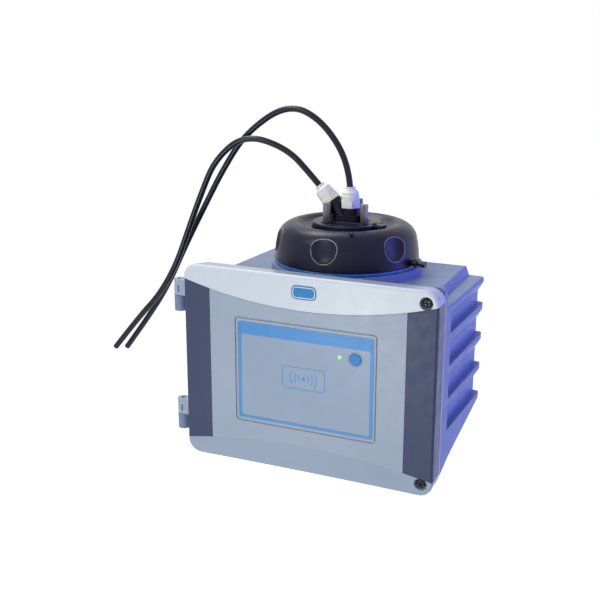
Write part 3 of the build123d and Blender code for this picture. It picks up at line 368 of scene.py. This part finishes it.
# every node but the four that are replaced below
nodeFinish = {
    "rear_housing": "housingPlastic", "cable_sockets": "socketPlastic", "mount_inserts": "turnedBrass",
    "door_screw_inserts": "turnedBrass", "door_seal": "sealRubber", "hinge_pins": "groundPin",
    "inner_panel": "panelPlastic", "panel_screws": "turnedSteel", "desiccant_cartridge": "cartridgePlastic",
    "optics_block": "blackAnodised", "vial_well": "blackAnodised", "light_module": "turnedAluminium",
    "beam_lens": "clearGlass", "detector_board": "boardLaminate", "main_board": "boardLaminate",
    "board_screws": "turnedSteel", "board_posts": "housingPlastic", "seat_seal": "sealRubber",
    "door_shell": "doorPlastic", "top_band": "bandPlastic", "badge": "badgePlastic",
    "left_strip": "stripPlastic", "right_strip": "stripPlastic", "front_foil": "filmPlastic",
    "status_lens": "statusGreen", "button_switch": "socketPlastic", "antenna_board": "boardLaminate",
    "antenna_coil": "coilCopper", "antenna_screws": "turnedSteel", "push_button": "buttonPlastic",
    "upper_door_screw": "screwPlastic", "lower_door_screw": "screwPlastic", "head_body": "headPlastic",
    "blue_ring": "ringPlastic", "flow_block": "headPlastic", "outlet_fitting": "fittingPlastic",
    "inlet_fitting": "fittingPlastic", "vial_nut": "headPlastic", "vial": "clearGlass",
    "dip_tube": "fittingPlastic", "ring_stud": "screwPlastic", "thumb_screw_front": "thumbSteelPaintedReflection",
    "thumb_screw_right": "thumbSteelPaintedReflection", "thumb_screw_rear": "thumbSteelPaintedReflection", "outlet_collet": "fittingPlastic",
    "inlet_collet": "fittingPlastic",
}
for nodeName, finishName in nodeFinish.items():
    mesh = nodes[nodeName].data
    mesh.materials.clear()
    mesh.materials.append(finishes[finishName])
print("finishes on", len(nodeFinish), "nodes")

# sample tubes
tubes = {
    "diameter": 0.00635,
    "order": 3,
    "steps": 16,
    "roundness": 8,
    "outletTube": {
        "node": "outlet_tube",
        "exit": (0.003, -0.087, 0.1526),
        "length": 0.473,
        "points": [
            (0.003, -0.087, 0.1406), (0.003, -0.087, 0.172), (-0.027, -0.086, 0.215),
            (-0.065, -0.086, 0.231), (-0.113, -0.085, 0.2), (-0.141, -0.084, 0.161),
            (-0.166, -0.083, 0.118), (-0.19, -0.084, 0.074), (-0.212, -0.084, 0.03),
            (-0.238, -0.0845, -0.009), (-0.271, -0.0855, -0.052),
        ],
    },
    "inletTube": {
        "node": "inlet_tube",
        "exit": (-0.0301, -0.087, 0.1513),
        "length": 0.408,
        "points": [
            (-0.02203, -0.087, 0.14262), (-0.03887, -0.087, 0.16069), (-0.065, -0.09, 0.187),
            (-0.11, -0.094, 0.199), (-0.144, -0.096, 0.172), (-0.162, -0.096, 0.134),
            (-0.178, -0.097, 0.095), (-0.194, -0.097, 0.056), (-0.216, -0.098, 0.02),
            (-0.243, -0.098, -0.008), (-0.277, -0.099, -0.049),
        ],
    },
}


def makeTube(name):
    piece = tubes[name]
    curve = bpy.data.curves.new(name, "CURVE")
    curve.dimensions = "3D"
    spline = curve.splines.new("NURBS")
    spline.points.add(len(piece["points"]) - 1)
    for point, place in zip(spline.points, piece["points"]):
        point.co = (*place, 1)
    spline.order_u = tubes["order"]
    spline.use_endpoint_u = True
    spline.resolution_u = tubes["steps"]
    curve.bevel_depth = tubes["diameter"] / 2
    curve.bevel_resolution = tubes["roundness"]
    curve.use_fill_caps = True
    curve.materials.append(finishes["tubePlastic"])
    tube = addObject(name, curve)
    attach(tube, "head")
    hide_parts(piece["node"])
    return tube


makeTube("outletTube")
makeTube("inletTube")
print("sample tubes made")

# print on the control film
filmPrint = {
    "lift": 0.00006,                # the ink's height above the film
    "middle": doorFoot + 0.0968,
    "half": (0.0694, 0.0486),       # outer edge of the blue frame
    "corner": 0.0028,
    "side": 0.0033,                 # bars of the frame
    "foot": 0.0025,
    "head": 0.0121,
    "markAt": (-0.0007, doorFoot + 0.0967),
    "markHalf": (0.0223, 0.0111),
    "markCorner": 0.0040,
    "markLine": 0.0008,
    "dot": 0.0019,
    "waves": [(0.0053, 34), (0.0093, 32), (0.0133, 31)],    # radius, half angle
    "waveLine": 0.0010,
    "waveSteps": 12,
    "cornerSteps": 6,
    "dotSides": 32,
}


def roundedLoop(work, half, corner, line):
    # flat line along the edge of a rounded rectangle that faces the front; returns the face inside it
    made = bmesh.ops.create_grid(work, x_segments=1, y_segments=1, size=1)
    bmesh.ops.scale(work, verts=made["verts"], vec=(half[0], half[1], 1))
    bmesh.ops.rotate(work, verts=made["verts"], cent=(0, 0, 0), matrix=Matrix.Rotation(math.radians(90), 3, "X"))
    roundOff(work, made["verts"], "VERTICES", corner, filmPrint["cornerSteps"])
    sheet = max(work.faces, key=lambda f: f.calc_area())
    bmesh.ops.inset_region(work, faces=[sheet], thickness=line, use_even_offset=True, use_boundary=True)
    return max(work.faces, key=lambda f: f.calc_area())


def inkDepth(work, lift):
    # gives flat print its small thickness, off the film
    made = bmesh.ops.extrude_face_region(work, geom=work.faces[:])
    raised = [v for v in made["geom"] if isinstance(v, bmesh.types.BMVert)]
    bmesh.ops.translate(work, verts=raised, vec=(0, -lift, 0))
    bmesh.ops.recalc_face_normals(work, faces=work.faces[:])


def makeBlueFrame():
    work = bmesh.new()
    inner = roundedLoop(work, filmPrint["half"], filmPrint["corner"], filmPrint["side"])
    for corner in inner.verts:
        if corner.co.z > 0:
            corner.co.z -= filmPrint["head"] - filmPrint["side"]
        else:
            corner.co.z -= filmPrint["side"] - filmPrint["foot"]
    bmesh.ops.delete(work, geom=[inner], context="FACES_ONLY")
    inkDepth(work, filmPrint["lift"])
    bmesh.ops.translate(work, verts=work.verts[:], vec=(0, faceY, filmPrint["middle"]))
    return toScene("blueFrame", work, "door", finishes["printBlue"])


def makeReaderMark():
    # contactless mark: a dot, three waves each side, a rounded box round them
    work = bmesh.new()
    inner = roundedLoop(work, filmPrint["markHalf"], filmPrint["markCorner"], filmPrint["markLine"])
    bmesh.ops.delete(work, geom=[inner], context="FACES_ONLY")
    bmesh.ops.create_circle(work, cap_ends=True, segments=filmPrint["dotSides"], radius=filmPrint["dot"],
                            matrix=Matrix.Rotation(math.radians(90), 4, "X"))
    for radius, halfAngle in filmPrint["waves"]:
        for side in (0, 180):
            low = Vector((radius - filmPrint["waveLine"] / 2, 0, 0))
            high = Vector((radius + filmPrint["waveLine"] / 2, 0, 0))
            start = Matrix.Rotation(math.radians(side - halfAngle), 3, "Y")
            ends = [work.verts.new(start @ low), work.verts.new(start @ high)]
            stroke = work.edges.new(ends)
            bmesh.ops.spin(work, geom=ends + [stroke], cent=(0, 0, 0), axis=(0, 1, 0),
                           angle=math.radians(2 * halfAngle), steps=filmPrint["waveSteps"])
    inkDepth(work, filmPrint["lift"])
    x, z = filmPrint["markAt"]
    bmesh.ops.translate(work, verts=work.verts[:], vec=(x, faceY, z))
    return toScene("readerMark", work, "door", finishes["printBlue"])


badgePrint = {
    "middle": doorFoot + 0.1812,
    "half": (0.0114, 0.0054),
    "corner": 0.0038,
    "line": 0.0008,
    "face": faceY - 0.0013,
}


def makeBadgeRing():
    # pale line round the bare badge
    work = bmesh.new()
    inner = roundedLoop(work, badgePrint["half"], badgePrint["corner"], badgePrint["line"])
    bmesh.ops.delete(work, geom=[inner], context="FACES_ONLY")
    inkDepth(work, filmPrint["lift"])
    bmesh.ops.translate(work, verts=work.verts[:], vec=(0, badgePrint["face"], badgePrint["middle"]))
    return toScene("badgeRing", work, "door", finishes["badgeRimPlastic"])


buttonRim = {
    "place": (0.0516, faceY, doorFoot + 0.1236),
    "profile": [(0.0060, 0.0), (0.0062, -0.00022), (0.0067, -0.00030), (0.0073, -0.00018), (0.0078, 0.0)],
    "steps": 64,
}


def makeButtonRim():
    # soft bead that the film forms round the button
    work = bmesh.new()
    ring = [work.verts.new((radius, depth, 0)) for radius, depth in buttonRim["profile"]]
    edges = [work.edges.new(pair) for pair in zip(ring, ring[1:])]
    bmesh.ops.spin(work, geom=ring + edges, cent=(0, 0, 0), axis=(0, 1, 0), angle=math.radians(360),
                   steps=buttonRim["steps"], use_merge=True)
    bmesh.ops.recalc_face_normals(work, faces=work.faces[:])
    smoothFaces(work)
    bmesh.ops.translate(work, verts=work.verts[:], vec=buttonRim["place"])
    return toScene("buttonRim", work, "door", finishes["filmPlastic"])


makeBlueFrame()
makeReaderMark()
makeBadgeRing()
makeButtonRim()
print("film print made")

# domed lock ring
dome = {
    "outline": [  # from the axis, height
        (0.0722, 0.0816), (0.0717, 0.0930), (0.0666, 0.1183), (0.0492, 0.1177), (0.0440, 0.1138),
        (0.0346, 0.1132), (0.0346, 0.1094), (0.0550, 0.1094), (0.0674, 0.0900), (0.0682, 0.0816),
    ],
    "rounding": [  # corner, run, steps
        (2, 0.0148, 16), (1, 0.0060, 4), (3, 0.0024, 4), (4, 0.0024, 4), (5, 0.0008, 2),
    ],
    "steps": 192,
    "scoops": 6,
    "firstScoop": 3.5,          # degrees from the front
    "scoopAt": (0.0739, 0.1128),        # from the axis, height
    "scoopLean": 3.0,
    "scoopSize": (0.01814, 0.0090, 0.0238),
    "scoopSides": (64, 40),
    "rim": 0.00045,
    "rimSteps": 2,
    "rimOver": 16,              # degrees: an edge this sharp is a scoop's rim
    "rimOut": 0.0555,           # and it lies further out than this
    "rimAbove": 0.0835,
    "sameSpot": 0.00004,
    "sharpOver": 32,
    "dart": {
        "out": 0.0600, "turn": 26, "height": 0.1177, "lean": 10,
        "radius": 0.0034, "taper": 0.0004, "depth": 0.0008,
    },
}


def makeDome():
    work = bmesh.new()
    corners = [work.verts.new((radius, headY, height)) for radius, height in dome["outline"]]
    work.faces.new(corners)
    for corner, run, steps in dome["rounding"]:
        roundOff(work, [corners[corner]], "VERTICES", run, steps)
    bmesh.ops.delete(work, geom=work.faces[:], context="FACES_ONLY")
    bmesh.ops.spin(work, geom=work.verts[:] + work.edges[:], cent=(0, headY, 0), axis=(0, 0, 1),
                   angle=math.radians(360), steps=dome["steps"], use_merge=True)
    bmesh.ops.remove_doubles(work, verts=work.verts[:], dist=tiny)
    bmesh.ops.recalc_face_normals(work, faces=work.faces[:])
    piece = toScene("lockDome", work, "lock_ring", finishes["domePlastic"])
    cutScoops(piece)
    rimScoops(piece)
    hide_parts("lock_ring")
    return piece


def cutScoops(piece):
    # finger scoops, cut by stretched balls round the dome
    balls = bmesh.new()
    for n in range(dome["scoops"]):
        out, height = dome["scoopAt"]
        place = aboutHead(dome["firstScoop"] + 360 / dome["scoops"] * n)
        place = place @ Matrix.Translation((0, -out, height))
        place = place @ Matrix.Rotation(math.radians(dome["scoopLean"]), 4, "X")
        place = place @ Matrix.Diagonal((*dome["scoopSize"], 1))
        bmesh.ops.create_uvsphere(balls, u_segments=dome["scoopSides"][0],
                                  v_segments=dome["scoopSides"][1], radius=1, matrix=place)
    toolMesh = bpy.data.meshes.new("scoopTool")
    balls.to_mesh(toolMesh)
    balls.free()
    tool = addObject("scoopTool", toolMesh)
    cut = piece.modifiers.new("scoops", "BOOLEAN")
    cut.operation = "DIFFERENCE"
    cut.solver = "EXACT"
    cut.object = tool
    shaped = bpy.data.meshes.new_from_object(piece.evaluated_get(bpy.context.evaluated_depsgraph_get()))
    piece.modifiers.clear()
    piece.data = shaped
    bpy.data.objects.remove(tool)


def rimScoops(piece):
    # the scoops' edges: a narrow rounding with a pale painted highlight on it
    piece.data.materials.append(finishes["rimPaintedHighlight"])
    work = bmesh.new()
    work.from_mesh(piece.data)
    bmesh.ops.remove_doubles(work, verts=work.verts[:], dist=dome["sameSpot"])
    rims = []
    for edge in work.edges:
        middle = (edge.verts[0].co + edge.verts[1].co) / 2
        out = math.hypot(middle.x, middle.y - headY)
        sharp = len(edge.link_faces) == 2 and edge.calc_face_angle() > math.radians(dome["rimOver"])
        if sharp and out > dome["rimOut"] and middle.z > dome["rimAbove"]:
            rims.append(edge)
    print("scoop rim edges", len(rims))
    # the rims' rounding gets the second material, the pale painted highlight
    roundOff(work, rims, "EDGES", dome["rim"], dome["rimSteps"], material=1)
    smoothFaces(work)
    work.to_mesh(piece.data)
    work.free()
    piece.data.set_sharp_from_angle(angle=math.radians(dome["sharpOver"]))


def makeDart():
    # small moulded pointer on the dome's shoulder
    look = dome["dart"]
    place = aboutHead(look["turn"]) @ Matrix.Translation((0, -look["out"], look["height"]))
    place = place @ Matrix.Rotation(math.radians(look["lean"]), 4, "X") @ Matrix.Rotation(math.radians(180), 4, "Z")
    work = bmesh.new()
    bmesh.ops.create_cone(work, cap_ends=True, segments=3, radius1=look["radius"],
                          radius2=look["radius"] - look["taper"], depth=look["depth"], matrix=place)
    bmesh.ops.recalc_face_normals(work, faces=work.faces[:])
    return toScene("domeDart", work, "lock_ring", finishes["headPlastic"])


makeDome()
makeDart()
print("dome made")

# centre plate with its pointer
plate = {
    "radius": 0.0340,
    "low": 0.11485,
    "high": 0.1180,
    "edge": 0.0005,
    "edgeSteps": 3,
    "screwCircle": 0.022,
    "screwAngles": (-135, -20, 80),
    "pad": (0.0056, 0.1192),
    "saddle": (0.040, 0.025, 0.1190),
    "pointer": (0.0280, 0.0420, 0.0045, 0.1146, -8),    # from, to, half width, underside, turn
    "sides": 72,
    "sharpOver": 40,
}


def addDisc(work, place, radius, low, high):
    made = bmesh.ops.create_cone(work, cap_ends=True, segments=plate["sides"], radius1=radius, radius2=radius,
                                 depth=high - low, matrix=Matrix.Translation((*place, (low + high) / 2)))
    top = [e for e in {e for v in made["verts"] for e in v.link_edges}
           if min(v.co.z for v in e.verts) > high - tiny]
    roundOff(work, top, "EDGES", plate["edge"], plate["edgeSteps"])


def addBlock(work, low, high, turn=0):
    # block between two corners, its upright and top edges rounded, turned about the head's axis
    size = Vector(high) - Vector(low)
    place = aboutHead(turn) @ Matrix.Translation((Vector(low) + Vector(high)) / 2)
    place = place @ Matrix.Diagonal((*size, 1))
    made = bmesh.ops.create_cube(work, size=1, matrix=place)
    edges = [e for e in {e for v in made["verts"] for e in v.link_edges}
             if max(v.co.z for v in e.verts) > high[2] - tiny]
    roundOff(work, edges, "EDGES", plate["edge"], plate["edgeSteps"])


def makePlate():
    work = bmesh.new()
    addDisc(work, (0, headY), plate["radius"], plate["low"], plate["high"])
    for angle in plate["screwAngles"]:
        turn = math.radians(angle)
        spot = (plate["screwCircle"] * math.cos(turn), headY + plate["screwCircle"] * math.sin(turn))
        addDisc(work, spot, plate["pad"][0], plate["low"], plate["pad"][1])
    length, width, top = plate["saddle"]
    addBlock(work, (-length / 2, -width / 2, plate["low"]), (length / 2, width / 2, top))
    start, end, half, low, turn = plate["pointer"]
    addBlock(work, (start, -half, low), (end, half, plate["high"]), turn)
    smoothFaces(work)
    piece = toScene("centrePlate", work, "head", finishes["platePlastic"], plate["sharpOver"])
    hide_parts("centre_plate")
    return piece


makePlate()
print("centre plate made")

# light, floor, backdrop
studio = {
    "world": ("F6F8FF", 0.30),      # tint, strength
    "floorSize": 9.0,
    "floorHeight": -0.75,
    "floorGlow": 0.74,      # for the camera and for mirrors, so that the floor shows white
    "floorColour": "E9ECEE",
    "floorRoughness": 0.9,
    "lamps": [
        # name, place, target, width, height, watts, colour
        ("keyLamp", (-0.75, -1.30, 1.35), (0, -0.12, 0.03), 1.0, 1.0, 14, "FFFFFF"),
        ("frontLamp", (-0.45, -1.75, 0.40), (-0.05, -0.15, 0.0), 1.1, 1.0, 2.5, "FFFFFF"),
        ("topLamp", (-0.62, 0.38, 1.25), (0, -0.09, 0.05), 0.6, 0.5, 9, "FFFFFF"),
        ("lowLamp", (-0.42, -1.55, -0.40), (0, -0.15, 0.1), 0.25, 0.25, 3.5, "FFFFFF"),
        ("sideLamp", (1.10, 0.30, 0.24), (0.1, -0.09, 0.0), 0.5, 0.7, 11, "3C48FF"),
    ],
}


def makeFloor():
    mesh = bpy.data.meshes.new("studioFloor")
    sheet = bmesh.new()
    bmesh.ops.create_grid(sheet, x_segments=1, y_segments=1, size=studio["floorSize"])
    bmesh.ops.translate(sheet, verts=sheet.verts, vec=(0, 0, studio["floorHeight"]))
    sheet.to_mesh(mesh)
    sheet.free()
    floor = addObject("studioFloor", mesh)
    material = bpy.data.materials.new("paleFloor")
    material.use_nodes = True
    tree = material.node_tree
    shader = tree.nodes["Principled BSDF"]
    shader.inputs["Base Color"].default_value = colour(studio["floorColour"])
    shader.inputs["Roughness"].default_value = studio["floorRoughness"]
    path = addNode(tree, "ShaderNodeLightPath")
    seen = addNode(tree, "ShaderNodeMath", {"operation": "MAXIMUM"})
    glow = addNode(tree, "ShaderNodeMath", {"operation": "MULTIPLY"})
    glow.inputs[1].default_value = studio["floorGlow"]
    tree.links.new(path.outputs["Is Camera Ray"], seen.inputs[0])
    tree.links.new(path.outputs["Is Glossy Ray"], seen.inputs[1])
    tree.links.new(seen.outputs["Value"], glow.inputs[0])
    shader.inputs["Emission Color"].default_value = (1, 1, 1, 1)
    tree.links.new(glow.outputs["Value"], shader.inputs["Emission Strength"])
    mesh.materials.append(material)


def makeWorld():
    # soft light on the object; the camera, mirrors and glass see plain white
    world = bpy.data.worlds.new("studioWorld")
    bpy.context.scene.world = world
    world.use_nodes = True
    tree = world.node_tree
    tree.nodes.clear()
    out = addNode(tree, "ShaderNodeOutputWorld")
    tint, strength = studio["world"]
    soft = addNode(tree, "ShaderNodeBackground", None, {"Color": colour(tint), "Strength": strength})
    white = addNode(tree, "ShaderNodeBackground", None, {"Color": (1, 1, 1, 1), "Strength": 1.0})
    path = addNode(tree, "ShaderNodeLightPath")
    seen = addNode(tree, "ShaderNodeMath", {"operation": "MAXIMUM"})
    mirrored = addNode(tree, "ShaderNodeMath", {"operation": "MAXIMUM"})
    mix = addNode(tree, "ShaderNodeMixShader")
    tree.links.new(path.outputs["Is Camera Ray"], seen.inputs[0])
    tree.links.new(path.outputs["Is Transmission Ray"], seen.inputs[1])
    tree.links.new(seen.outputs["Value"], mirrored.inputs[0])
    tree.links.new(path.outputs["Is Glossy Ray"], mirrored.inputs[1])
    tree.links.new(mirrored.outputs["Value"], mix.inputs["Fac"])
    tree.links.new(soft.outputs["Background"], mix.inputs[1])
    tree.links.new(white.outputs["Background"], mix.inputs[2])
    tree.links.new(mix.outputs["Shader"], out.inputs["Surface"])


def makeLamps():
    for name, place, target, width, height, watts, tint in studio["lamps"]:
        data = bpy.data.lights.new(name, "AREA")
        data.shape = "RECTANGLE"
        data.size = width
        data.size_y = height
        data.energy = watts
        data.color = colour(tint)[:3]
        lamp = addObject(name, data)
        lamp.matrix_world = aimed(place, target)


bpy.context.scene.view_settings.view_transform = "Standard"
makeFloor()
makeWorld()
makeLamps()
print("studio set")
